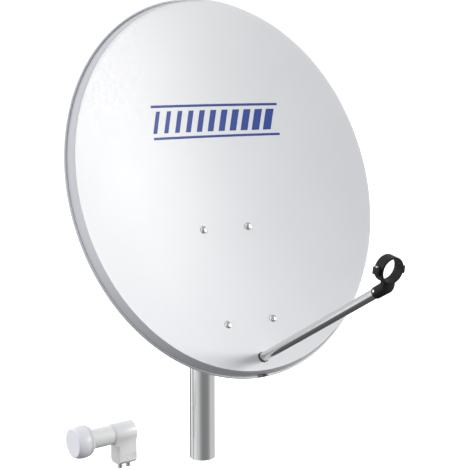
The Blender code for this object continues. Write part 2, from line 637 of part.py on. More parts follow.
# the screw that pins the socket to the arm, sunk in a round window near the mouth
pin_dir = (socket.to_3x3() @ Vector((-cos(radians(12)), sin(radians(12)), 0))).normalized()
pin_seat = frame_on(at(*SOCKET_AT) + socket_axis * 0.0055 + pin_dir * ARM_R, pin_dir, socket_axis)
boolean(holder, add("pin_window", drum("pin_window", 0.0043, 0.0043, 0.0003, 0.0060, 20), None, pin_seat))
pin_hole = drum("arm_screw_hole", 0.0018, 0.0018, -0.0060, 0.004, 12)
boolean(arm, add("arm_screw_hole", pin_hole, None, pin_seat))
turned("arm_screw", [(0.0, 0.0024), (0.0018, 0.0022), (0.0029, 0.0014), (0.0032, GAP + 0.0002),
                     (0.0015, GAP + 0.0002), (0.0015, -0.0050), (0.0, -0.0050)],
       12, ZINC, pin_seat, tilt_axis)

# ---------------------------------------------------------------- the LNB, standing beside the mast
lnb_axis = empty("axis_lnb", LNB_AT)
LNB = Matrix.Translation(LNB_AT) @ Matrix.Rotation(LNB_TURN, 4, 'Z')     # its horn looks along local -Y
HOUSE_Z0 = 0.0115                             # underside of the housing, above the connectors' ends
FEED_Z = HOUSE_Z0 + 0.0640
HOUSE_Y0, HOUSE_Y1, SET_BACK = -0.0245, 0.0245, 0.0080
HOUSE_R, BOX_HALF = 0.0218, 0.0180
feed = LNB @ frame_on(Vector((0, HOUSE_Y0, FEED_Z)), (0, -1, 0))          # Z out of the housing's front

right_side = [(BOX_HALF - 0.0055, HOUSE_Z0), (BOX_HALF, HOUSE_Z0 + 0.0060), (BOX_HALF, FEED_Z - 0.0180),
              (BOX_HALF + 0.0012, FEED_Z - 0.0130)]
outline = right_side + arc((0, FEED_Z), HOUSE_R, -22, 202, 17) + [(-x, z) for x, z in reversed(right_side)]
upright = LNB @ Matrix(((1, 0, 0, 0), (0, 0, -1, 0), (0, 1, 0, 0), (0, 0, 0, 1)))
housing = add("lnb_housing", outline_mesh("lnb_housing", outline, HOUSE_Y1 - HOUSE_Y0),
              SHELL, upright, lnb_axis)
step_back = block("set_back", (0.06, 0.02 + SET_BACK, 0.08), (0, HOUSE_Y0 - 0.01 + SET_BACK / 2, 0.0))
step_back_at = LNB @ Matrix.Translation((0, 0, FEED_Z - HOUSE_R - 0.0005 - 0.04))
boolean(housing, add("set_back", step_back, None, step_back_at))
bevel(housing, 0.0018, 2, 50)
for i in range(4):
    z = HOUSE_Z0 + 0.0090 + 0.0038 * i
    for side, tag in ((-1, "l"), (1, "r")):
        rib = block("groove", (0.0024, 0.0340, 0.0014), (side * BOX_HALF, 0.0065, z))
        boolean(housing, add("groove_%s%d" % (tag, i), rib, None, LNB))
MID = (HOUSE_Y0 + SET_BACK + HOUSE_Y1) / 2
for y, tag in ((MID - 0.0097, "front"), (MID + 0.0097, "rear")):
    turned("f_connector_" + tag,
           [(0.0, HOUSE_Z0 - GAP), (0.0060, HOUSE_Z0 - GAP), (0.0060, 0.0096), (0.0047, 0.0094),
            (0.0047, 0.0005), (0.0043, 0.0), (0.0014, 0.0), (0.0012, 0.0030), (0.0, 0.0030)],
           14, NICKEL, LNB @ Matrix.Translation((0, y, 0)), lnb_axis)

NECK_LEN, COLLAR_LEN, CAP_LEN = 0.0540, 0.0110, 0.0255
turned("lnb_neck", [(0.0, NECK_LEN), (0.0212, NECK_LEN), (0.0212, NECK_LEN - 0.0030),
                    (0.0200, NECK_LEN - 0.0036), (0.0200, 0.0024), (0.0208, 0.0020), (0.0208, GAP), (0.0, GAP)],
       28, GREY, feed, lnb_axis)
z = NECK_LEN + GAP
turned("lnb_collar", [(0.0, z + COLLAR_LEN), (0.0315, z + COLLAR_LEN), (0.0318, z + 0.0060),
                      (0.0296, z + 0.0056), (0.0296, z + 0.0044), (0.0302, z + 0.0040),
                      (0.0290, z + 0.0010), (0.0278, z), (0.0, z)], 32, SHELL, feed, lnb_axis)
z += COLLAR_LEN + GAP
top = z + CAP_LEN
turned("lnb_cap", [(0.0, top), (0.0285, top), (0.0297, top - 0.0010), (0.0315, top - 0.0050),
                   (0.0328, top - 0.0100), (0.0333, top - 0.0150), (0.0333, z + 0.0020),
                   (0.0325, z), (0.0, z)], 32, WHITE, feed, lnb_axis)
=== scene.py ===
"""The satellite dish's looks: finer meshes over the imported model, materials, light and camera."""

import json
import math
from math import cos, pi, radians, sin, sqrt

import bmesh
import bpy
from mathutils import Matrix, Vector

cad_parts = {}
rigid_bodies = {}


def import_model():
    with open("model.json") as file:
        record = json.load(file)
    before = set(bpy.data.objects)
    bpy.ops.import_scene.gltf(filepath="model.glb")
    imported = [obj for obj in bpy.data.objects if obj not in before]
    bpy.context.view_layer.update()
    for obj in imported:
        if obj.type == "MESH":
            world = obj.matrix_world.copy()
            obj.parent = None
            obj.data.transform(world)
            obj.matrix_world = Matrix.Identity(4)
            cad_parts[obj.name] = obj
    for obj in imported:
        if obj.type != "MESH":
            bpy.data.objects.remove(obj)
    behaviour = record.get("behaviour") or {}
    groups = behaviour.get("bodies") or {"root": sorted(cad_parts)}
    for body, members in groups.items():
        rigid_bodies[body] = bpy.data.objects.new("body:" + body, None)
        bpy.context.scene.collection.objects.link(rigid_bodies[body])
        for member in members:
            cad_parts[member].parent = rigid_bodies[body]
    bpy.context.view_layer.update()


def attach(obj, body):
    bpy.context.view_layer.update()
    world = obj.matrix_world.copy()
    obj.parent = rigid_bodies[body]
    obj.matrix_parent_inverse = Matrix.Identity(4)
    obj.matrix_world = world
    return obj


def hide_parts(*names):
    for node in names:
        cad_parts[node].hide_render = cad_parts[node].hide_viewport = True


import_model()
scene = bpy.context.scene

# ---------------------------------------------------------------- driving dimensions
RIM_W, RIM_H = 0.675, 0.750          # front rim, an ellipse
FOCAL = 0.400                        # of the parent paraboloid
RIM_CENTRE = Vector((0.0, -0.129, 0.6065))
RIM_TILT = radians(18.2)             # rim normal above the horizon
SHEET = 0.0010                       # reflector sheet
LIP_DEPTH, LIP_FLARE = 0.0215, 0.0090
HEM_R = 0.0015
BOLT_DX, BOLT_DV, BOLT_V = 0.10570, 0.19430, -0.1797
GAP = 0.0003                         # between neighbouring solids
SIDES = ((-1, "left"), (1, "right"))

MAST_R, MAST_WALL, MAST_TOP = 0.0270, 0.0025, 0.512
PIVOT = Vector((0.0, -0.094, 0.3835))        # elevation hinge, axis along X
PIVOT_YZ = PIVOT.yz
LOCK_R, LOCK_ANGLE = 0.044, radians(12.0)    # lock bolt's place about the pivot
TILT_BACK, TILT_DOWN = radians(15), radians(25)
CHEEK_IN, PLATE = 0.0400, 0.0025             # dish bracket cheeks, inner face and thickness
WEB_Y = -0.0425                              # front face of the clamp bracket's web
UBOLT_R = 0.0030
UBOLT_Z = (0.3835, 0.4545)

ARM_R, ARM_WALL = 0.0090, 0.0015
ARM_HOLE = 0.0112                    # in the reflector, lined by a grommet
ARM_TIP = (0.0, -0.2743, 0.3815)     # inside the holder's socket
ARM_BASE = (0.0, -0.3510, -0.0155)   # where it passes through the reflector
RING_AT = (0.0, -0.2467, 0.3985)
RING_TILT = radians(28.8)
RING_IN, RING_OUT, RING_LEN = 0.0200, 0.0232, 0.0200
EAR_REACH, CAP_EAR, HOLDER_EAR = 0.0288, 0.0055, 0.0075     # from the axis out, and the ears' heights
SOCKET_AT = (0.0, -0.2794, 0.3560)   # centre of the socket's mouth
SOCKET_DEPTH = 0.0265
SLEEVE_R0, SLEEVE_R1 = 0.0105, 0.0113   # socket sleeve at its mouth and 55 mm on
POST_HALF, POST_FRONT, POST_BACK = 0.0122, -0.0063, 0.0022   # plate between ring and socket
POST_END = -0.0280                   # centre of the plate's round lower end, below the ring's centre

LNB_AT = Vector((-0.174, 0.038, 0.0))
LNB_TURN = radians(-86.0)

# fasteners: width across flats, head and nut heights, shank and hole radii
M8_FLATS, M8_HEAD, M8_NUT, M8_R, M8_HOLE = 0.0130, 0.0053, 0.0065, 0.0040, 0.0043
M6_FLATS, M6_HEAD, M6_NUT, M6_R, M6_HOLE = 0.0100, 0.0040, 0.0050, 0.0030, 0.0033
M8_LENGTH, ARM_BOLT_LENGTH = 0.0155, 0.0925

PARTS = bpy.data.collections.new("fine_pieces")
TOOLS = bpy.data.collections.new("fine_tools")
for group in (PARTS, TOOLS):
    scene.collection.children.link(group)
BUILT = []                           # (object, node, body, material) in the order made

# ---------------------------------------------------------------- the dish's geometry
OFFSET = math.acos(RIM_W / RIM_H)
Y0 = 2.0 * FOCAL * math.tan(OFFSET)
Z0 = (Y0 ** 2 + (RIM_W / 2) ** 2) / (4.0 * FOCAL)
SO, CO = sin(OFFSET), cos(OFFSET)
DISH = Matrix.Translation(RIM_CENTRE) @ Matrix.Rotation(-RIM_TILT, 4, 'X')


def at(x, v, d):
    """World point of a place on the dish."""
    return DISH @ Vector((x, -d, v))


def along(x, v, d):
    """World direction of a direction on the dish."""
    return (DISH.to_3x3() @ Vector((x, -d, v))).normalized()


def bowl(x, v):
    """Depth d of the paraboloid at (x, v)."""
    b = 2.0 * SO * (Y0 + v * CO) + 4.0 * FOCAL * CO
    c = x * x + (Y0 + v * CO) ** 2 - 4.0 * FOCAL * (Z0 + v * SO)
    return (b - sqrt(b * b - 4.0 * SO * SO * c)) / (2.0 * SO * SO)


def bowl_normal(x, v):
    """Unit normal (x, v, d) of the reflecting face."""
    y = Y0 + v * CO - bowl(x, v) * SO
    n = Vector((-x / (2 * FOCAL), -y / (2 * FOCAL), 1.0)).normalized()
    return Vector((n.x, n.y * CO + n.z * SO, -n.y * SO + n.z * CO))


def behind(x, v, depth):
    """World point a given depth behind the reflecting face."""
    n = bowl_normal(x, v)
    return at(x - n.x * depth, v - n.y * depth, bowl(x, v) - n.z * depth)


# a flat plate's x and y run along world y and z, or along x and z
ACROSS_X = Matrix(((0, 0, 1, 0), (1, 0, 0, 0), (0, 1, 0, 0), (0, 0, 0, 1)))
ACROSS_Y = Matrix(((1, 0, 0, 0), (0, 0, -1, 0), (0, 1, 0, 0), (0, 0, 0, 1)))


def frame_on(origin, axis, x_hint=(1.0, 0.0, 0.0)):
    """Matrix at origin whose Z runs along axis."""
    z = Vector(axis).normalized()
    x = (Vector(x_hint) - z * Vector(x_hint).dot(z)).normalized()
    m = Matrix((x, z.cross(x), z)).transposed().to_4x4()
    m.translation = origin
    return m


# ---------------------------------------------------------------- materials and helpers
STREAK_SHADE, CELL_SHADE = 0.86, 0.74        # the darker tone in streaks and in zinc crystals


def material(name, colour, rough, metal=0.0, grain=(60.0, 0.04), bump=None, streak=None, cells=None,
             tint=0.03, **sockets):
    """A Principled material with procedural colour variation, roughness and relief in object space.

    grain: (scale, roughness change); bump: (scale, strength, distance in m); streak: scales (x, y, z);
    cells: (scale, strength) of a crystal pattern, as on hot-dip zinc; tint: how far the colour drifts to
    both sides; sockets: further constant shader values, with _ for a space.
    """
    mat = bpy.data.materials.new(name)
    mat.use_nodes = True
    tree = mat.node_tree
    shader = tree.nodes["Principled BSDF"]
    shader.inputs["Metallic"].default_value = metal
    for socket, value in sockets.items():
        shader.inputs[socket.replace("_", " ")].default_value = value
    place = tree.nodes.new("ShaderNodeTexCoord").outputs["Object"]

    def noise(scale, detail=3.0, stretch=None):
        node = tree.nodes.new("ShaderNodeTexNoise")
        node.inputs["Scale"].default_value = scale
        node.inputs["Detail"].default_value = detail
        source = place
        if stretch:
            scaling = tree.nodes.new("ShaderNodeMapping")
            scaling.inputs["Scale"].default_value = stretch
            tree.links.new(place, scaling.inputs["Vector"])
            source = scaling.outputs["Vector"]
        tree.links.new(source, node.inputs["Vector"])
        return node.outputs["Fac"]

    def ranged(source, low, high, start=0.3, stop=0.7):
        node = tree.nodes.new("ShaderNodeMapRange")
        node.inputs["From Min"].default_value = start
        node.inputs["From Max"].default_value = stop
        node.inputs["To Min"].default_value = low
        node.inputs["To Max"].default_value = high
        tree.links.new(source, node.inputs["Value"])
        return node.outputs["Result"]

    def blended(first, second, factor):
        node = tree.nodes.new("ShaderNodeMix")
        node.data_type = 'RGBA'
        for index, value in ((6, first), (7, second)):
            if isinstance(value, tuple):
                node.inputs[index].default_value = (*value, 1.0)
            else:
                tree.links.new(value, node.inputs[index])
        tree.links.new(factor, node.inputs[0])
        return node.outputs[2]

    light = tuple(min(1.0, c * (1 + tint)) for c in colour)
    dark = tuple(c * (1 - tint) for c in colour)
    shade = blended(dark, light, ranged(noise(9.0, 4.0), 0.0, 1.0))
    if streak:
        lines = ranged(noise(1.0, 2.0, streak), 0.0, 0.5)
        shade = blended(shade, tuple(c * STREAK_SHADE for c in colour), lines)
    if cells:
        scale, amount = cells
        crystal = tree.nodes.new("ShaderNodeTexVoronoi")
        crystal.inputs["Scale"].default_value = scale
        tree.links.new(place, crystal.inputs["Vector"])
        grey = tree.nodes.new("ShaderNodeRGBToBW")
        tree.links.new(crystal.outputs["Color"], grey.inputs["Color"])
        spangle = ranged(grey.outputs["Val"], 0.0, amount, 0.1, 0.9)
        shade = blended(shade, tuple(c * CELL_SHADE for c in colour), spangle)
    tree.links.new(shade, shader.inputs["Base Color"])
    scale, change = grain
    tree.links.new(ranged(noise(scale, 4.0), rough - change, rough + change), shader.inputs["Roughness"])
    if bump:
        scale, strength, distance = bump
        relief = tree.nodes.new("ShaderNodeBump")
        relief.inputs["Strength"].default_value = strength
        relief.inputs["Distance"].default_value = distance
        tree.links.new(noise(scale, 2.0), relief.inputs["Height"])
        tree.links.new(relief.outputs["Normal"], shader.inputs["Normal"])
    mat["slot"] = name
    return mat


PAINT = material("painted_sheet", (0.580, 0.588, 0.610), 0.42, grain=(240.0, 0.06),
                 bump=(620.0, 0.22, 0.00020), tint=0.012)
GALV = material("galvanised_tube", (0.76, 0.765, 0.755), 0.17, 1.0, grain=(60.0, 0.03),
                bump=(40.0, 0.06, 0.0002), streak=(240.0, 240.0, 4.0), tint=0.02)
STAMPED = material("galvanised_plate", (0.60, 0.61, 0.61), 0.42, 1.0, grain=(120.0, 0.07),
                   bump=(300.0, 0.15, 0.0001), cells=(110.0, 0.8), tint=0.04)
ZINC = material("zinc_fastener", (0.70, 0.70, 0.68), 0.27, 1.0, grain=(500.0, 0.06),
                bump=(900.0, 0.12, 0.00005))
# painted shade: near-black on the drain slot's edge and tongue stands in for the shadow inside the slot; it
# shares the paint's slot name
DRAIN_SHADE = material("painted_sheet", (0.05, 0.05, 0.055), 0.7, grain=(400.0, 0.1), tint=0.05)
# painted shade: the grommet's dark grey, duller and lighter than the moulded black plastic, stands in for the
# shadowed gap round the arm
GROMMET_SHADE = material("black_plastic", (0.065, 0.067, 0.07), 0.5, grain=(300.0, 0.08), tint=0.05)
BLACK = material("black_plastic", (0.0065, 0.0065, 0.0075), 0.46, grain=(300.0, 0.08),
                 bump=(850.0, 0.55, 0.00015), tint=0.12, Specular_IOR_Level=0.22)
WHITE = material("white_plastic", (0.80, 0.80, 0.84), 0.36, grain=(200.0, 0.04),
                 bump=(1200.0, 0.10, 0.00004), tint=0.01)
GREY = material("grey_plastic", (0.80, 0.805, 0.80), 0.34, grain=(300.0, 0.05),
                bump=(900.0, 0.18, 0.00006), streak=(5.0, 260.0, 5.0), tint=0.02)
SHELL = material("lnb_housing", (0.74, 0.74, 0.745), 0.38, grain=(260.0, 0.06),
                 bump=(1100.0, 0.25, 0.00006), tint=0.02)
NICKEL = material("nickel_connector", (0.62, 0.58, 0.50), 0.22, 1.0, grain=(500.0, 0.06),
                  bump=(900.0, 0.1, 0.00004))
BLUE = material("painted_mark", (0.030, 0.058, 0.255), 0.42, grain=(240.0, 0.05),
                bump=(620.0, 0.15, 0.0001), tint=0.04, Specular_IOR_Level=0.15)


def smooth(mesh, angle=35):
    mesh.shade_smooth()
    mesh.set_sharp_from_angle(angle=radians(angle))


def add(name, mesh, mat, matrix=None, body="mast"):
    """A piece in the row frame, or a tool when it has no material."""
    obj = bpy.data.objects.new(name + ("_fine" if mat else "_tool"), mesh)
    if mat is None:
        TOOLS.objects.link(obj)
        obj.hide_render = True
        obj.display_type = 'WIRE'
    else:
        PARTS.objects.link(obj)
        BUILT.append((obj, name, body, mat))
    obj.matrix_world = matrix or Matrix.Identity(4)
    return obj


def mesh_of(bm, name, angle=35):
    mesh = bpy.data.meshes.new(name)
    bm.to_mesh(mesh)
    bm.free()
    smooth(mesh, angle)
    return mesh


def drum(name, r1, r2, z0, z1, sides=32):
    """A closed cone or cylinder mesh from z0 (radius r1) to z1 (radius r2)."""
    bm = bmesh.new()
    bmesh.ops.create_cone(bm, cap_ends=True, segments=sides, radius1=r1, radius2=r2, depth=z1 - z0,
                          matrix=Matrix.Translation((0, 0, (z0 + z1) / 2)))
    return mesh_of(bm, name)


def block(name, size, centre=(0, 0, 0)):
    bm = bmesh.new()
    bmesh.ops.create_cube(bm, size=1.0, matrix=Matrix.Translation(centre) @ Matrix.Diagonal((*size, 1.0)))
    return mesh_of(bm, name)


def poly_curve(name, points, dimensions):
    """A curve of straight lines; its one spline is left open."""
    curve = bpy.data.curves.new(name, 'CURVE')
    curve.dimensions = dimensions
    line = curve.splines.new('POLY')
    line.points.add(len(points) - 1)
    for point, spot in zip(line.points, points):
        point.co = (*spot, 1.0)
    return curve


def outline_mesh(name, points, thickness):
    """A flat plate: a filled 2D curve in XY, extruded to both sides of z = 0."""
    curve = poly_curve(name + "_outline", [(x, y, 0.0) for x, y in points], '2D')
    curve.fill_mode = 'BOTH'
    curve.extrude = thickness / 2
    curve.splines[0].use_cyclic_u = True
    return solid_from_curve(name, curve)


def wire_mesh(name, points, radius, resolution, capped):
    """A round wire or tube along a line of points."""
    curve = poly_curve(name + "_path", points, '3D')
    curve.bevel_depth = radius
    curve.bevel_resolution = resolution
    curve.use_fill_caps = capped
    return solid_from_curve(name, curve)


def solid_from_curve(name, curve):
    """The welded mesh of a curve object; the curve itself is removed."""
    guide = bpy.data.objects.new(name + "_guide", curve)
    TOOLS.objects.link(guide)
    bpy.context.view_layer.update()
    mesh = bpy.data.meshes.new_from_object(guide.evaluated_get(bpy.context.evaluated_depsgraph_get()))
    bpy.data.objects.remove(guide, do_unlink=True)
    bm = bmesh.new()
    bm.from_mesh(mesh)
    bmesh.ops.remove_doubles(bm, verts=bm.verts, dist=0.00001)
    bmesh.ops.recalc_face_normals(bm, faces=bm.faces)
    bm.to_mesh(mesh)
    bm.free()
    mesh.name = name
    smooth(mesh)
    return mesh


def boolean(target, other, how='DIFFERENCE'):
    mod = target.modifiers.new(how.lower() + "_" + other.name, 'BOOLEAN')
    mod.operation = how
    mod.solver = 'EXACT'
    mod.object = other


def bevel(obj, width, segments=2, angle=40):
    mod = obj.modifiers.new("rounded_edges", 'BEVEL')
    mod.width = width
    mod.segments = segments
    mod.limit_method = 'ANGLE'
    mod.angle_limit = radians(angle)
    mod.harden_normals = False


def turned(name, profile, sides, mat, matrix=None, body="mast", closed=False):
    """A turned part: a profile of (radius, height) about Z with a Screw modifier."""
    bm = bmesh.new()
    verts = [bm.verts.new((r, 0.0, z)) for r, z in profile]
    for a, b in zip(verts, verts[1:]):
        bm.edges.new((a, b))
    if closed:
        bm.edges.new((verts[-1], verts[0]))
    mesh = bpy.data.meshes.new(name)
    bm.to_mesh(mesh)
    bm.free()
    obj = add(name, mesh, mat, matrix, body)
    mod = obj.modifiers.new("turned", 'SCREW')
    mod.steps = mod.render_steps = sides
    mod.use_merge_vertices = True
    mod.merge_threshold = 0.00002
    mod.use_smooth_shade = True
    return obj


def hex_nut(name, across, thick, bore, matrix, body):
    """A hexagon nut standing on z = 0, bored through."""
    r = across / sqrt(3.0)
    bm = bmesh.new()
    bmesh.ops.create_cone(bm, cap_ends=True, segments=6, radius1=r, radius2=r, depth=thick,
                          matrix=Matrix.Translation((0, 0, thick / 2)))
    nut = add(name, mesh_of(bm, name, 20), ZINC, matrix, body)
    tool = drum(name + "_bore", bore, bore, -0.001, thick + 0.001, 24)
    boolean(nut, add(name + "_bore", tool, None, matrix))
    return nut


def hex_bolt(name, across, head, shank_r, length, matrix, body):
    """A hexagon-headed bolt: head from z = 0 up, shank from z = 0 down."""
    r = across / sqrt(3.0)
    bolt = add(name, drum(name, r, r, 0.0, head, 6), ZINC, matrix, body)
    shank = drum(name + "_shank", shank_r, shank_r, -length, head / 2, 24)
    boolean(bolt, add(name + "_shank", shank, None, matrix), 'UNION')
    return bolt


# ---------------------------------------------------------------- mast
turned("mast_tube",
       [(MAST_R, MAST_TOP), (MAST_R, 0.0), (MAST_R - MAST_WALL, 0.0), (MAST_R - MAST_WALL, MAST_TOP)],
       128, GALV, closed=True)
plug = MAST_R - MAST_WALL - GAP
turned("mast_cap",
       [(0.0, 0.0045), (MAST_R - 0.004, 0.0043), (MAST_R, 0.0030), (MAST_R + 0.0004, 0.0), (plug, 0.0),
        (plug - 0.0006, -0.014), (plug - 0.0025, -0.014), (plug - 0.0025, 0.0012), (0.0, 0.0012)],
       96, BLACK, Matrix.Translation((0, 0, MAST_TOP + GAP)))

# ---------------------------------------------------------------- azimuth clamp
WEB_BOTTOM, WEB_TOP = 0.3535, 0.4835
CHEEK_NOSE = -0.062                          # y of the cheeks' top front corner
PIVOT_LOBE, LOCK_LOBE = 0.0145, 0.0135       # radii of the cheeks' outline round the bolts
CUT_X = 0.08                                 # cutters along X reach this far to both sides
CLAMP_X = CHEEK_IN + PLATE + GAP             # inner face of the clamp bracket's cheeks
lock = PIVOT + Vector((0, LOCK_R * sin(LOCK_ANGLE), LOCK_R * cos(LOCK_ANGLE)))
lock_yz = lock.yz

bracket = add("clamp_bracket",
              block("clamp_bracket", (2 * (CLAMP_X + PLATE), PLATE, WEB_TOP - WEB_BOTTOM),
                    (0, WEB_Y + PLATE / 2, (WEB_TOP + WEB_BOTTOM) / 2)),
              STAMPED, None, "azimuth_clamp")


def arc(centre, radius, start, stop, count):
    """Points on an arc in (y, z); angles in degrees from +y towards +z."""
    return [(centre[0] + radius * cos(radians(start + (stop - start) * i / (count - 1))),
             centre[1] + radius * sin(radians(start + (stop - start) * i / (count - 1))))
            for i in range(count)]


def cheek(name, points, inner_x, side):
    """A flat plate in the YZ plane; points are (y, z)."""
    middle_x = side * (inner_x + PLATE / 2)
    return add(name, outline_mesh(name, points, PLATE), None, Matrix.Translation((middle_x, 0, 0)) @ ACROSS_X)


clamp_outline = ([(WEB_Y + PLATE, WEB_BOTTOM), (PIVOT.y + 0.030, WEB_BOTTOM)]
                 + arc(PIVOT_YZ, PIVOT_LOBE, 290, 130, 9)
                 + arc(lock_yz, LOCK_LOBE, 175, 90, 6)
                 + [(CHEEK_NOSE, WEB_TOP), (WEB_Y + PLATE, WEB_TOP)])
for side, tag in SIDES:
    boolean(bracket, cheek("clamp_cheek_" + tag, clamp_outline, CLAMP_X, side), 'UNION')


def bore_x(name, centre, radius, sides=32):
    """A cutter along X through both cheeks; centre is (y, z)."""
    return add(name, drum(name, radius, radius, -CUT_X, CUT_X, sides), None,
               frame_on(Vector((0, centre[0], centre[1])), (1, 0, 0), (0, 1, 0)))


pivot_bore = bore_x("bore_pivot", PIVOT_YZ, M8_HOLE)
boolean(bracket, pivot_bore)
boolean(bracket, bore_x("bore_lock", lock_yz, M8_HOLE))

ubolt_x = MAST_R + GAP + UBOLT_R
UBOLT_END = -0.060                           # the legs' ends, in y
SADDLE = (0.044, 0.0205, 0.014)
for z, tag in zip(UBOLT_Z, ("lower", "upper")):
    saddle_front = WEB_Y + PLATE + GAP
    saddle = add("clamp_saddle_" + tag,
                 block("clamp_saddle_" + tag, SADDLE, (0, saddle_front + SADDLE[1] / 2, z)),
                 STAMPED, None, "azimuth_clamp")
    bevel(saddle, 0.0008, 1)
    boolean(saddle, add("mast_room_" + tag, drum("mast_room_" + tag, MAST_R + GAP, MAST_R + GAP,
                                                 z - 0.02, z + 0.02, 48), None))
    path = ([(-ubolt_x, UBOLT_END, 0), (-ubolt_x, UBOLT_END / 2, 0)]
            + [(-ubolt_x * cos(pi * i / 32), ubolt_x * sin(pi * i / 32), 0) for i in range(33)]
            + [(ubolt_x, UBOLT_END / 2, 0), (ubolt_x, UBOLT_END, 0)])
    add("ubolt_" + tag, wire_mesh("ubolt_" + tag, path, UBOLT_R, 5, True), ZINC,
        Matrix.Translation((0, 0, z)), "azimuth_clamp")
    for side, hand in SIDES:
        leg = frame_on(Vector((side * ubolt_x, WEB_Y - GAP, z)), (0, -1, 0))
        hex_nut("ubolt_nut_" + tag + "_" + hand, M6_FLATS, M6_NUT, M6_HOLE, leg, "azimuth_clamp")
        hole = drum("leg_hole_" + tag + hand, UBOLT_R + GAP, UBOLT_R + GAP, -0.01, 0.01, 24)
        boolean(bracket, add("leg_hole_" + tag + "_" + hand, hole, None, leg))

for side, tag in SIDES:
    for kind, spot in (("pivot", PIVOT), ("lock", lock)):
        outer = Vector((side * (CLAMP_X + PLATE + GAP), spot.y, spot.z))
        hex_bolt(kind + "_bolt_" + tag, M8_FLATS, M8_HEAD, M8_R, M8_LENGTH,
                 frame_on(outer, (side, 0, 0), (0, 1, 0)), "azimuth_clamp")
        inner = Vector((side * (CHEEK_IN - GAP), spot.y, spot.z))
        hex_nut(kind + "_nut_" + tag, M8_FLATS, M8_NUT, M8_HOLE,
                frame_on(inner, (-side, 0, 0), (0, 1, 0)), "azimuth_clamp")

# ---------------------------------------------------------------- reflector
AROUND, RINGS = 256, 40                      # of the mesh: steps round, rings from the middle out


def reflector_sheet(around, rings):
    """The front and outer skin: a profile spun about the middle, then laid on the paraboloid."""
    slant = Vector((LIP_FLARE, -LIP_DEPTH)).normalized()          # down the lip: (outward, d)
    out = Vector((-slant.y, slant.x))                             # the lip's outer side
    curl_at = Vector((LIP_FLARE, -LIP_DEPTH)) + out * HEM_R
    edge = [(-0.0016, None), (-0.0004, -0.0003), (slant.x * 0.0016, slant.y * 0.0016),
            (LIP_FLARE / 2, -LIP_DEPTH / 2),
            (LIP_FLARE - slant.x * 0.0008, -LIP_DEPTH - slant.y * 0.0008), (LIP_FLARE, -LIP_DEPTH)]
    for step in range(1, 16):
        turn = radians(20 * step)
        spot = curl_at + (slant * sin(turn) - out * cos(turn)) * HEM_R
        edge.append((spot.x, spot.y))
    count = rings + len(edge)
    bm = bmesh.new()
    verts = [bm.verts.new((float(i), 0, 0)) for i in range(count)]
    for a, b in zip(verts, verts[1:]):
        bm.edges.new((a, b))
    bmesh.ops.spin(bm, geom=bm.verts[:] + bm.edges[:], cent=(0, 0, 0), axis=(0, 0, 1), dvec=(0, 0, 0),
                   angle=2 * pi, steps=around, use_merge=True, use_duplicate=False)
    bmesh.ops.remove_doubles(bm, verts=bm.verts, dist=0.0001)
    a, b = RIM_W / 2, RIM_H / 2
    for vert in bm.verts:
        index = round(sqrt(vert.co.x ** 2 + vert.co.y ** 2))
        turn = math.atan2(vert.co.y, vert.co.x)
        c, s = cos(turn), sin(turn)
        if index < rings:
            share = index / rings
            x, v = a * c * share, b * s * share
            vert.co = (x, v, bowl(x, v))
            continue
        push, depth = edge[index - rings]
        normal = Vector((c / a, s / b)).normalized()
        x, v = a * c + normal.x * push, b * s + normal.y * push
        vert.co = (x, v, bowl(x, v) if depth is None else depth)
    for vert in bm.verts:
        vert.co = (vert.co.x, -vert.co.z, vert.co.y)
    bmesh.ops.recalc_face_normals(bm, faces=bm.faces)
    front = min(bm.faces, key=lambda f: f.calc_center_median().xz.length)
    if front.normal.y > 0:
        bmesh.ops.reverse_faces(bm, faces=bm.faces)
    return mesh_of(bm, "reflector", 40)


reflector = add("reflector", reflector_sheet(AROUND, RINGS), PAINT, DISH, "dish")
skin = reflector.modifiers.new("sheet", 'SOLIDIFY')
skin.thickness = SHEET
skin.offset = -1.0
skin.use_even_offset = True

arm_line = Vector(ARM_TIP) - Vector(ARM_BASE)
arm_dir = along(arm_line.x, arm_line.y, arm_line.z)
arm_hole = add("arm_hole", drum("arm_hole", ARM_HOLE, ARM_HOLE, -0.04, 0.04, 64), None,
               frame_on(at(*ARM_BASE), arm_dir))
boolean(reflector, arm_hole)
DRAIN_X, DRAIN_DOWN = -0.0060, 0.85          # beside the middle, and its share of the way down the lip
DRAIN_END, DRAIN_HALF = 0.0070, 0.0028       # from its middle to its round ends' centres, and half its width
drain_at = frame_on(at(DRAIN_X, -RIM_H / 2 - LIP_FLARE * DRAIN_DOWN, -LIP_DEPTH * DRAIN_DOWN),
                    along(0, -LIP_DEPTH, LIP_FLARE))
drain = outline_mesh("drain_slot",
                     arc((DRAIN_END, 0), DRAIN_HALF, -90, 90, 7)
                     + arc((-DRAIN_END, 0), DRAIN_HALF, 90, 270, 7), 0.012)
boolean(reflector, add("drain_slot", drain, None, drain_at))
# the punched tongue, bent inwards along the slot's rear edge; it carries painted shade that makes the slot
# look dark
TONGUE_X = 0.0020                            # its middle, beside the slot's
tongue = block("drain_tongue", (2 * DRAIN_END + 0.0070, 0.0010, 0.0045),
               (TONGUE_X, -DRAIN_HALF - 0.0006, -0.00275))
boolean(reflector, add("drain_tongue", tongue, None, drain_at), 'UNION')

# ---------------------------------------------------------------- dish bracket, behind the reflector
BACK = SHEET + GAP                           # the bracket's front face behind the reflecting face
PLATE_V0, PLATE_V1, PLATE_X = -0.302, -0.058, 0.070
BRACKET_WALL = 0.0020

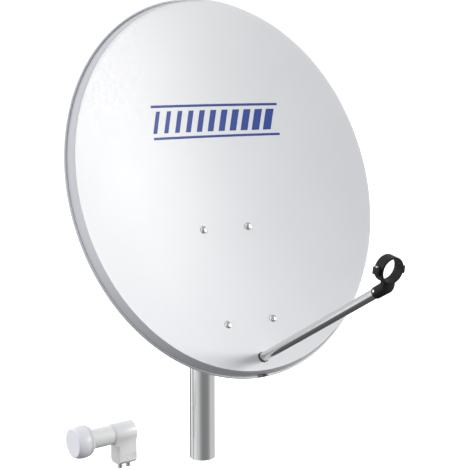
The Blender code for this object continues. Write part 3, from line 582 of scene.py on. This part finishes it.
bm = bmesh.new()
bmesh.ops.create_grid(bm, x_segments=24, y_segments=40, size=1.0)
for vert in bm.verts:
    s, t = vert.co.x, vert.co.y
    narrow = 1.0 - 0.14 * max(0.0, abs(t) - 0.80) / 0.20
    x = PLATE_X * s * narrow
    v = (PLATE_V0 + PLATE_V1) / 2 + (PLATE_V1 - PLATE_V0) / 2 * t
    vert.co = behind(x, v, BACK)
bmesh.ops.recalc_face_normals(bm, faces=bm.faces)
if max(bm.faces, key=lambda f: f.calc_area()).normal.y > 0:
    bmesh.ops.reverse_faces(bm, faces=bm.faces)
bracket_mesh = mesh_of(bm, "dish_bracket")
dish_bracket = add("dish_bracket", bracket_mesh, STAMPED, None, "dish")
wall = dish_bracket.modifiers.new("plate", 'SOLIDIFY')
wall.thickness = BRACKET_WALL
wall.offset = -1.0

ARM_END = (0.0, -0.2620, -0.0810)            # cross bolt through the arm's rear end
arm_end = at(*ARM_END)
arm_end_yz = arm_end.yz
front_edge = []
for i in range(9):
    v = -0.118 - (0.292 - 0.118) * i / 8
    spot = behind(CHEEK_IN + PLATE / 2, v, BACK + 0.0010)
    front_edge.append((spot.y, spot.z))
SLOT_FRONT = 90 - math.degrees(LOCK_ANGLE) + math.degrees(TILT_BACK)
SLOT_REAR = 90 - math.degrees(LOCK_ANGLE) - math.degrees(TILT_DOWN)
side_outline = (front_edge
                + [(arm_end.y - 0.012, arm_end.z - 0.013)]
                + arc(arm_end_yz, 0.0125, 250, 320, 4)
                + arc(PIVOT_YZ, 0.0150, 290, 365, 5)
                + arc(PIVOT_YZ, LOCK_R + 0.0095, SLOT_REAR - 8, SLOT_FRONT + 12, 8))
for side, tag in SIDES:
    boolean(dish_bracket, cheek("dish_cheek_" + tag, side_outline, CHEEK_IN, side), 'UNION')
boolean(dish_bracket, pivot_bore)


def slot_shape(radius, half, start, stop):
    """An arc slot with round ends about the pivot, as (y, z) points."""
    points = arc(PIVOT_YZ, radius + half, start, stop, 12)
    end = radians(stop)
    points += arc((PIVOT.y + radius * cos(end), PIVOT.z + radius * sin(end)), half, stop + 22, stop + 158, 6)
    points += arc(PIVOT_YZ, radius - half, stop, start, 12)
    end = radians(start)
    middle = (PIVOT.y + radius * cos(end), PIVOT.z + radius * sin(end))
    points += arc(middle, half, start + 202, start + 338, 6)
    return points


slot_mesh = outline_mesh("lock_slot", slot_shape(LOCK_R, 0.0045, SLOT_REAR - 1, SLOT_FRONT + 1), 2 * CUT_X)
boolean(dish_bracket, add("lock_slot", slot_mesh, None, ACROSS_X))
boolean(dish_bracket, bore_x("bore_arm_bolt", arm_end_yz, M6_HOLE, 16))

# ---------------------------------------------------------------- carriage bolts and their nuts
HEAD_R, HEAD_H, BOLT_END, DISH_NUT = 0.0078, 0.0040, -0.0150, 0.0055
SEAT = 0.0001                                # the head's underside above the reflecting face
dome = [(0.0, HEAD_H)] + [(HEAD_R * sin(radians(8 * i)), SEAT + (HEAD_H - SEAT) * cos(radians(8 * i)))
                          for i in range(1, 11)]
dome += [(HEAD_R, SEAT + 0.0006), (HEAD_R - 0.0002, SEAT), (M6_R, SEAT), (M6_R, BOLT_END), (0.0, BOLT_END)]
spots = [(sx, sv) for sv in (1, -1) for sx in (-1, 1)]
for (sx, sv), tag in zip(spots, ("upper_left", "upper_right", "lower_left", "lower_right")):
    x, v = sx * BOLT_DX / 2, BOLT_V + sv * BOLT_DV / 2
    n = bowl_normal(x, v)
    seat = frame_on(at(x, v, bowl(x, v)), along(n.x, n.y, n.z))
    hole = add("bolt_hole_" + tag, drum("bolt_hole_" + tag, M6_HOLE, M6_HOLE, -0.012, 0.006, 32), None, seat)
    boolean(reflector, hole)
    boolean(dish_bracket, hole)
    turned("dish_bolt_" + tag, dome, 64, ZINC, seat, "dish")
    under = seat @ Matrix.Translation((0, 0, -(BACK + BRACKET_WALL + GAP))) @ Matrix.Rotation(pi, 4, 'X')
    hex_nut("dish_nut_" + tag, M6_FLATS, DISH_NUT, M6_HOLE, under, "dish")

# ---------------------------------------------------------------- feed arm
back_dir = (Vector(ARM_BASE) - Vector(ARM_TIP)).normalized()
bend = Vector(ARM_BASE) + back_dir * 0.0500
rise = (Vector(ARM_END) - bend).normalized()
BEND_R = 0.030
half_turn = back_dir.angle(rise) / 2
trim = BEND_R * math.tan(half_turn)
start, stop = bend - back_dir * trim, bend + rise * trim
hub = bend + (rise - back_dir).normalized() * (BEND_R / cos(half_turn))
route = [Vector(ARM_TIP), start + (Vector(ARM_TIP) - start) * 0.5, start]
for i in range(1, 16):
    share = i / 16
    leg = ((start - hub) * sin((1 - share) * 2 * half_turn) + (stop - hub) * sin(share * 2 * half_turn))
    route.append(hub + leg / sin(2 * half_turn))
route += [stop, Vector(ARM_END) + rise * 0.010]
arm = add("feed_arm", wire_mesh("feed_arm", [at(*spot) for spot in route], ARM_R, 12, False),
          GALV, None, "dish")
wall = arm.modifiers.new("tube_wall", 'SOLIDIFY')
wall.thickness = ARM_WALL
wall.offset = -1.0
boolean(arm, bore_x("bore_arm_cross", arm_end_yz, M6_HOLE, 16))

for side, tag in SIDES:
    length = CHEEK_IN - ARM_R - 2 * GAP
    spot = frame_on(Vector((side * (ARM_R + GAP), arm_end.y, arm_end.z)), (side, 0, 0), (0, 1, 0))
    turned("arm_spacer_" + tag, [(0.0060, length), (0.0060, 0.0), (0.0034, 0.0), (0.0034, length)],
           48, ZINC, spot, "dish", closed=True)
outer = Vector((-(CHEEK_IN + PLATE + GAP), arm_end.y, arm_end.z))
hex_bolt("arm_bolt", M6_FLATS, M6_HEAD, M6_R, ARM_BOLT_LENGTH,
         frame_on(outer, (-1, 0, 0), (0, 1, 0)), "dish")
outer.x = -outer.x
hex_nut("arm_nut", M6_FLATS, M6_NUT, M6_HOLE, frame_on(outer, (1, 0, 0), (0, 1, 0)), "dish")

# a thin dark ring lines the arm's hole, trimmed to the reflector's slope; its dark grey is painted shade for
# the shadowed gap round the arm
hole_v = ARM_BASE[1]
face_out = behind(0, hole_v, -0.001) - behind(0, hole_v, 0.001)
REACH = 0.016                                # of the untrimmed ring, to both sides
grommet = turned("arm_grommet", [(ARM_HOLE - GAP, REACH), (ARM_HOLE - GAP, -REACH),
                                 (ARM_R + GAP, -REACH), (ARM_R + GAP, REACH)],
                 64, GROMMET_SHADE, frame_on(at(*ARM_BASE), arm_dir), "dish", closed=True)
slab = block("grommet_slab", (0.06, 0.06, 0.0024))
boolean(grommet, add("grommet_slab", slab, None, frame_on(behind(0, hole_v, 0.0005), face_out)), 'INTERSECT')

# ---------------------------------------------------------------- LNB holder on the arm's tip
socket_axis = along(arm_line.x, arm_line.y, arm_line.z)
socket = frame_on(at(*SOCKET_AT), socket_axis)
ring_up = along(0, cos(RING_TILT), sin(RING_TILT))
ring = Matrix((Vector((1, 0, 0)), ring_up.cross(Vector((1, 0, 0))), ring_up)).transposed().to_4x4()
ring.translation = at(*RING_AT)


def half_ring(name, sign, thick, body_name):
    """Half of the clamp ring with its two ears; local X across, local Y along the bore, local Z up."""
    beyond = 0.0040                          # past the split, trimmed off later
    body = add(name, drum(name, RING_OUT, RING_OUT, -RING_LEN / 2, RING_LEN / 2, 96), BLACK,
               ring @ Matrix.Rotation(pi / 2, 4, 'X'), body_name)
    bevel(body, 0.0007, 1)
    for side, tag in SIDES:
        ear = block(name + "_ear", (EAR_REACH - RING_IN - 0.0010, 0.0150, thick + beyond),
                    (side * (EAR_REACH + RING_IN + 0.0010) / 2, 0, sign * (thick - beyond) / 2))
        operand = add(name + "_ear_" + tag, ear, None, ring)
        bevel(operand, 0.0012, 2)
        boolean(body, operand, 'UNION')
    return body


def finish_half(body, sign):
    """Bores the half through and trims it at the split plane."""
    boolean(body, ring_bore)
    spare = block(body.name + "_spare_half", (0.08, 0.06, 0.04), (0, 0, -sign * (0.02 - GAP / 2)))
    boolean(body, add(body.name + "_spare_half", spare, None, ring))


ring_bore = add("ring_bore", drum("ring_bore", RING_IN, RING_IN, -0.03, 0.03, 96), None,
                ring @ Matrix.Rotation(pi / 2, 4, 'X'))
holder = half_ring("lnb_holder", -1, HOLDER_EAR, "dish")
sleeve = add("holder_sleeve", drum("holder_sleeve", SLEEVE_R0, SLEEVE_R1, 0.0, 0.0550, 64), None, socket)
bevel(sleeve, 0.0008, 2)
beyond_post = block("beyond_post", (0.08, 0.04, 0.08), (0, POST_FRONT + 0.0005 - 0.02, POST_END))
boolean(sleeve, add("beyond_post", beyond_post, None, ring))
post_outline = ([(-POST_HALF, -0.0150)] + arc((0, POST_END), POST_HALF, 180, 360, 33)
                + [(POST_HALF, -0.0150)])
post_mid = (POST_FRONT + POST_BACK) / 2
post_turn = ring @ Matrix.Translation((0, post_mid, 0)) @ ACROSS_Y
post = add("holder_post", outline_mesh("holder_post", post_outline, POST_BACK - POST_FRONT), None, post_turn)
bevel(post, 0.0010, 2)
boolean(holder, sleeve, 'UNION')
boolean(holder, post, 'UNION')
finish_half(holder, -1)
socket_bore = drum("socket_bore", ARM_R + 2 * GAP, ARM_R + 2 * GAP, -0.005, SOCKET_DEPTH, 64)
boolean(holder, add("socket_bore", socket_bore, None, socket))

cap = half_ring("lnb_clamp_cap", 1, CAP_EAR, "clamp_cap")
finish_half(cap, 1)
for side, tag in SIDES:
    spot = ring @ Matrix.Translation((side * (EAR_REACH - 0.0029), 0, CAP_EAR))
    hole = add("clamp_screw_hole_" + tag, drum("clamp_screw_hole_" + tag, 0.0018, 0.0018, -0.02, 0.01, 12),
               None, spot)
    boolean(holder, hole)
    boolean(cap, hole)
    pan = [(0.0, 0.0022), (0.0017, 0.0020), (0.0027, 0.0013), (0.0030, GAP), (0.0015, GAP), (0.0015, -0.0105),
           (0.0, -0.0105)]
    turned("clamp_screw_" + tag, pan, 32, ZINC, spot, "clamp_cap")

# the screw that pins the socket to the arm, sunk in a round window near the mouth
pin_dir = (socket.to_3x3() @ Vector((-cos(radians(12)), sin(radians(12)), 0))).normalized()
pin_seat = frame_on(at(*SOCKET_AT) + socket_axis * 0.0055 + pin_dir * ARM_R, pin_dir, socket_axis)
boolean(holder, add("pin_window", drum("pin_window", 0.0043, 0.0043, 0.0003, 0.0060, 32), None, pin_seat))
pin_hole = drum("arm_screw_hole", 0.0018, 0.0018, -0.0060, 0.004, 12)
boolean(arm, add("arm_screw_hole", pin_hole, None, pin_seat))
turned("arm_screw", [(0.0, 0.0024), (0.0018, 0.0022), (0.0029, 0.0014), (0.0032, GAP + 0.0002),
                     (0.0015, GAP + 0.0002), (0.0015, -0.0050), (0.0, -0.0050)],
       32, ZINC, pin_seat, "dish")

# ---------------------------------------------------------------- the LNB, standing beside the mast
LNB = Matrix.Translation(LNB_AT) @ Matrix.Rotation(LNB_TURN, 4, 'Z')     # its horn looks along local -Y
HOUSE_Z0 = 0.0115                             # underside of the housing, above the connectors' ends
FEED_Z = HOUSE_Z0 + 0.0640
HOUSE_Y0, HOUSE_Y1, SET_BACK = -0.0245, 0.0245, 0.0080
HOUSE_R, BOX_HALF = 0.0218, 0.0180
feed = LNB @ frame_on(Vector((0, HOUSE_Y0, FEED_Z)), (0, -1, 0))          # Z out of the housing's front

right_side = [(BOX_HALF - 0.0055, HOUSE_Z0), (BOX_HALF, HOUSE_Z0 + 0.0060), (BOX_HALF, FEED_Z - 0.0180),
              (BOX_HALF + 0.0012, FEED_Z - 0.0130)]
outline = right_side + arc((0, FEED_Z), HOUSE_R, -22, 202, 57) + [(-x, z) for x, z in reversed(right_side)]
housing = add("lnb_housing", outline_mesh("lnb_housing", outline, HOUSE_Y1 - HOUSE_Y0),
              SHELL, LNB @ ACROSS_Y, "lnb")
step_back = block("set_back", (0.06, 0.02 + SET_BACK, 0.08), (0, HOUSE_Y0 - 0.01 + SET_BACK / 2, 0.0))
step_back_at = LNB @ Matrix.Translation((0, 0, FEED_Z - HOUSE_R - 0.0005 - 0.04))
boolean(housing, add("set_back", step_back, None, step_back_at))
bevel(housing, 0.0018, 2, 50)
GROOVES, GROOVE_Z, GROOVE_PITCH = 4, HOUSE_Z0 + 0.0090, 0.0038
for i in range(GROOVES):
    for side, tag in ((-1, "l"), (1, "r")):
        groove = block("groove", (0.0024, 0.0340, 0.0014),
                       (side * BOX_HALF, 0.0065, GROOVE_Z + GROOVE_PITCH * i))
        boolean(housing, add("groove_%s%d" % (tag, i), groove, None, LNB))
MID = (HOUSE_Y0 + SET_BACK + HOUSE_Y1) / 2
CONNECTOR_DY = 0.0097                        # to both sides of the underside's middle
for y, tag in ((MID - CONNECTOR_DY, "front"), (MID + CONNECTOR_DY, "rear")):
    turned("f_connector_" + tag,
           [(0.0, HOUSE_Z0 - GAP), (0.0060, HOUSE_Z0 - GAP), (0.0060, 0.0096), (0.0047, 0.0094),
            (0.0047, 0.0005), (0.0043, 0.0), (0.0014, 0.0), (0.0012, 0.0030), (0.0, 0.0030)],
           48, NICKEL, LNB @ Matrix.Translation((0, y, 0)), "lnb")

NECK_LEN, COLLAR_LEN, CAP_LEN = 0.0540, 0.0110, 0.0255
NECK_R, NECK_BAND, NECK_FOOT = 0.0200, 0.0212, 0.0208        # the tube, and its wider front and rear ends
COLLAR_R, COLLAR_GROOVE, CAP_R = 0.0318, 0.0296, 0.0333
turned("lnb_neck", [(0.0, NECK_LEN), (NECK_BAND, NECK_LEN), (NECK_BAND, NECK_LEN - 0.0030),
                    (NECK_R, NECK_LEN - 0.0036), (NECK_R, 0.0024), (NECK_FOOT, 0.0020), (NECK_FOOT, GAP),
                    (0.0, GAP)],
       128, GREY, feed, "lnb")
z = NECK_LEN + GAP
turned("lnb_collar", [(0.0, z + COLLAR_LEN), (COLLAR_R - 0.0003, z + COLLAR_LEN), (COLLAR_R, z + 0.0060),
                      (COLLAR_GROOVE, z + 0.0056), (COLLAR_GROOVE, z + 0.0044), (0.0302, z + 0.0040),
                      (0.0290, z + 0.0010), (0.0278, z), (0.0, z)], 128, SHELL, feed, "lnb")
z += COLLAR_LEN + GAP
top = z + CAP_LEN
turned("lnb_cap", [(0.0, top), (0.0285, top), (0.0297, top - 0.0010), (0.0315, top - 0.0050),
                   (0.0328, top - 0.0100), (CAP_R, top - 0.0150), (CAP_R, z + 0.0020),
                   (CAP_R - 0.0008, z), (0.0, z)], 128, WHITE, feed, "lnb")

# ---------------------------------------------------------------- the painted mark: lines and slanted bars
MARK_V0, MARK_V1, MARK_X0, MARK_X1 = 0.1012, 0.1690, -0.140, 0.160
MARK_BOW, MARK_RISE = 0.0040, 0.0014         # it arches up at its middle and climbs to the right
FILM = 0.00012                               # above the reflecting face
LINE, BARS, BAR_LEAN = 0.0050, 11, 0.012
BAR_LOW, BAR_HIGH = MARK_V0 + 0.0125, MARK_V1 - 0.0120


def painted(name, corners):
    """A thin film on the reflecting face; corners are (x, v) of a four-sided shape."""
    (x0, v0), (x1, v1), (x2, v2), (x3, v3) = corners
    bm = bmesh.new()
    bmesh.ops.create_grid(bm, x_segments=40, y_segments=6, size=1.0)
    for vert in bm.verts:
        s, t = (vert.co.x + 1) / 2, (vert.co.y + 1) / 2
        x = (x0 * (1 - s) + x1 * s) * (1 - t) + (x3 * (1 - s) + x2 * s) * t
        v = (v0 * (1 - s) + v1 * s) * (1 - t) + (v3 * (1 - s) + v2 * s) * t
        place = 2 * (x - MARK_X0) / (MARK_X1 - MARK_X0) - 1
        vert.co = behind(x, v + MARK_BOW * (1 - place ** 2) + MARK_RISE * place, -FILM)
    bmesh.ops.recalc_face_normals(bm, faces=bm.faces)
    if max(bm.faces, key=lambda f: f.calc_area()).normal.y > 0:
        bmesh.ops.reverse_faces(bm, faces=bm.faces)
    mesh = mesh_of(bm, name)
    mesh.materials.append(BLUE)
    obj = bpy.data.objects.new(name, mesh)
    PARTS.objects.link(obj)
    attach(obj, "dish")


for tag, v in (("lower", MARK_V0), ("upper", MARK_V1 - LINE)):
    painted("mark_line_" + tag, [(MARK_X0, v), (MARK_X1, v), (MARK_X1, v + LINE), (MARK_X0, v + LINE)])
pitch = (MARK_X1 - MARK_X0 - BAR_LEAN) / BARS
for i in range(BARS):
    x = MARK_X0 + pitch * i
    wide = pitch * (0.36 + 0.034 * i)        # the bars grow wider to the right
    painted("mark_bar_%02d" % i, [(x, BAR_LOW), (x + wide, BAR_LOW),
                                  (x + wide + BAR_LEAN, BAR_HIGH), (x + BAR_LEAN, BAR_HIGH)])

# ---------------------------------------------------------------- bake, shade, ride
bpy.context.view_layer.update()
graph = bpy.context.evaluated_depsgraph_get()
baked = [bpy.data.meshes.new_from_object(obj.evaluated_get(graph)) for obj, _, _, _ in BUILT]
for (obj, node, body, mat), mesh in zip(BUILT, baked):
    obj.modifiers.clear()
    obj.data = mesh
    mesh.transform(obj.matrix_world)         # so that the box stays tight
    obj.matrix_world = Matrix.Identity(4)
    mesh.name = node + "_fine"
    mesh.materials.clear()
    mesh.materials.append(mat)
    if node == "reflector":                  # painted shade on the drain slot's edge and tongue
        mesh.materials.append(DRAIN_SHADE)
        out = drain_at.to_3x3() @ Vector((0, 0, 1))
        for face in mesh.polygons:
            near = drain_at.inverted() @ face.center
            if (abs(near.x - TONGUE_X) < 0.0120 and abs(near.y) < 0.0050 and abs(near.z) < 0.0060
                    and (abs(face.normal.dot(out)) < 0.7 or near.z < -0.0013)):
                face.material_index = 1
    smooth(mesh, 32)
    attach(obj, body)
    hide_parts(node)
for tool in list(TOOLS.objects):
    bpy.data.objects.remove(tool, do_unlink=True)

# ---------------------------------------------------------------- stage, light and camera
CAMERA_AT = (-1.0961, -1.8083, 0.7813)       # with the view and the lens, fitted to the outline
VIEW = Vector((0.5411, 0.8293, -0.1396))
LENS, SENSOR = 77.92, 36.0                   # mm
FLOOR_R, FLOOR_DROP = 60.0, 0.0005
FLOOR_GLOW, BACKDROP = 0.62, 1.05            # levels of what the camera sees behind the object

camera = bpy.data.objects.new("camera", bpy.data.cameras.new("camera"))
scene.collection.objects.link(camera)
camera.data.lens = LENS
camera.data.sensor_width = SENSOR
camera.data.clip_start, camera.data.clip_end = 0.05, 200.0
camera.location = CAMERA_AT
camera.rotation_mode = 'QUATERNION'
camera.rotation_quaternion = VIEW.to_track_quat('-Z', 'Y')
scene.camera = camera
view_right = Vector((0.8375, -0.5465, 0.0))  # level: to the camera's right
view_back = Vector((-0.5465, -0.8375, 0.0))  # level: from the object to the camera

bm = bmesh.new()
bmesh.ops.create_circle(bm, cap_ends=True, segments=96, radius=FLOOR_R)
floor = bpy.data.objects.new("floor", mesh_of(bm, "floor"))
scene.collection.objects.link(floor)
floor.location.z = -FLOOR_DROP
pale = bpy.data.materials.new("pale_floor")
pale.use_nodes = True
tree = pale.node_tree
tree.nodes.clear()
out = tree.nodes.new("ShaderNodeOutputMaterial")
ray = tree.nodes.new("ShaderNodeLightPath")
swap = tree.nodes.new("ShaderNodeMixShader")
seen = tree.nodes.new("ShaderNodeAddShader")
glow = tree.nodes.new("ShaderNodeEmission")
glow.inputs["Strength"].default_value = FLOOR_GLOW
white = tree.nodes.new("ShaderNodeBsdfDiffuse")
white.inputs["Color"].default_value = (0.80, 0.80, 0.80, 1)
clear = tree.nodes.new("ShaderNodeBsdfTransparent")
tree.links.new(glow.outputs[0], seen.inputs[0])
tree.links.new(white.outputs[0], seen.inputs[1])
tree.links.new(ray.outputs["Is Camera Ray"], swap.inputs[0])
tree.links.new(clear.outputs[0], swap.inputs[1])
tree.links.new(seen.outputs[0], swap.inputs[2])
tree.links.new(swap.outputs[0], out.inputs["Surface"])
floor.data.materials.append(pale)

world = bpy.data.worlds.new("studio")
scene.world = world
world.use_nodes = True
tree = world.node_tree
tree.nodes.clear()
out = tree.nodes.new("ShaderNodeOutputWorld")
ray = tree.nodes.new("ShaderNodeLightPath")
place = tree.nodes.new("ShaderNodeTexCoord").outputs["Generated"]


def towards(direction, start, stop, low, high):
    """A smooth value from low to high as a direction nears the given one."""
    dot = tree.nodes.new("ShaderNodeVectorMath")
    dot.operation = 'DOT_PRODUCT'
    dot.inputs[1].default_value = Vector(direction).normalized()
    tree.links.new(place, dot.inputs[0])
    node = tree.nodes.new("ShaderNodeMapRange")
    node.interpolation_type = 'SMOOTHSTEP'
    for key, value in (("From Min", start), ("From Max", stop), ("To Min", low), ("To Max", high)):
        node.inputs[key].default_value = value
    tree.links.new(dot.outputs["Value"], node.inputs["Value"])
    return node.outputs["Result"]


def product(first, second):
    node = tree.nodes.new("ShaderNodeMath")
    node.operation = 'MULTIPLY'
    tree.links.new(first, node.inputs[0])
    tree.links.new(second, node.inputs[1])
    return node.outputs[0]


def around(angle, rise=0.0):
    """A direction at an angle to the right of the camera's side, and raised."""
    flat = view_back * cos(radians(angle)) + view_right * sin(radians(angle))
    return flat * cos(radians(rise)) + Vector((0, 0, sin(radians(rise))))


# each row sets the level towards one direction: (direction, start, stop, low, high); the rows multiply
SURROUNDINGS = (
    ((0, 0, 1), -0.66, -0.40, 0.10, 0.72),           # dim ground, even horizon
    ((0, 0, 1), 0.25, 0.85, 1.0, 0.66),              # a quieter ceiling
    (around(-112, -5), 0.25, 0.90, 1.0, 1.50),       # bright panel at the left
    (around(-125, 42), 0.45, 0.90, 1.0, 2.10),       # one above it, further back
    (around(-92, -17), 0.985, 0.996, 1.0, 0.35),     # a post in front of the panel
    (around(-143, -17), 0.955, 0.985, 1.0, 0.05),    # the panel's dark edge
    (around(-42, 28), 0.70, 0.95, 1.0, 1.25),        # soft fill, left of the camera
    (around(25, -8), 0.45, 0.97, 1.0, 0.39),         # dark flag at the right front
)
level = towards(*SURROUNDINGS[0])
for row in SURROUNDINGS[1:]:
    level = product(level, towards(*row))
sky = tree.nodes.new("ShaderNodeBackground")
sky.inputs["Color"].default_value = (0.965, 0.98, 1.0, 1)
tree.links.new(level, sky.inputs["Strength"])
plain = tree.nodes.new("ShaderNodeBackground")
plain.inputs["Color"].default_value = (1, 1, 1, 1)
plain.inputs["Strength"].default_value = BACKDROP
swap = tree.nodes.new("ShaderNodeMixShader")
tree.links.new(ray.outputs["Is Camera Ray"], swap.inputs[0])
tree.links.new(sky.outputs[0], swap.inputs[1])
tree.links.new(plain.outputs[0], swap.inputs[2])
tree.links.new(swap.outputs[0], out.inputs["Surface"])


def softbox(name, place_at, target, size, watts, colour):
    """A round area light that looks at its target."""
    lamp = bpy.data.lights.new(name, 'AREA')
    lamp.shape = 'DISK'
    lamp.size = size
    lamp.energy = watts
    lamp.color = colour
    obj = bpy.data.objects.new(name, lamp)
    scene.collection.objects.link(obj)
    obj.location = place_at
    obj.rotation_mode = 'QUATERNION'
    obj.rotation_quaternion = (Vector(target) - Vector(place_at)).to_track_quat('-Z', 'Y')


middle = Vector((0, -0.1, 0.5))              # of the dish
low_left = Vector((-0.17, 0.0, 0.06))        # the LNB's place
# (name, target, direction from it, distance, diameter, watts, colour)
LAMPS = (
    ("key_light", middle, around(87, 14), 2.6, 1.0, 70, (1.0, 0.985, 0.96)),
    ("top_light", middle, around(-20, 60), 3.3, 1.8, 11, (0.95, 0.97, 1.0)),
    ("low_light", low_left, around(-12, 36), 0.85, 0.4, 0.8, (0.98, 0.98, 1.0)),
)
for name, target, direction, distance, size, watts, colour in LAMPS:
    softbox(name, target + direction * distance, target, size, watts, colour)
scene.view_settings.view_transform = 'Standard'
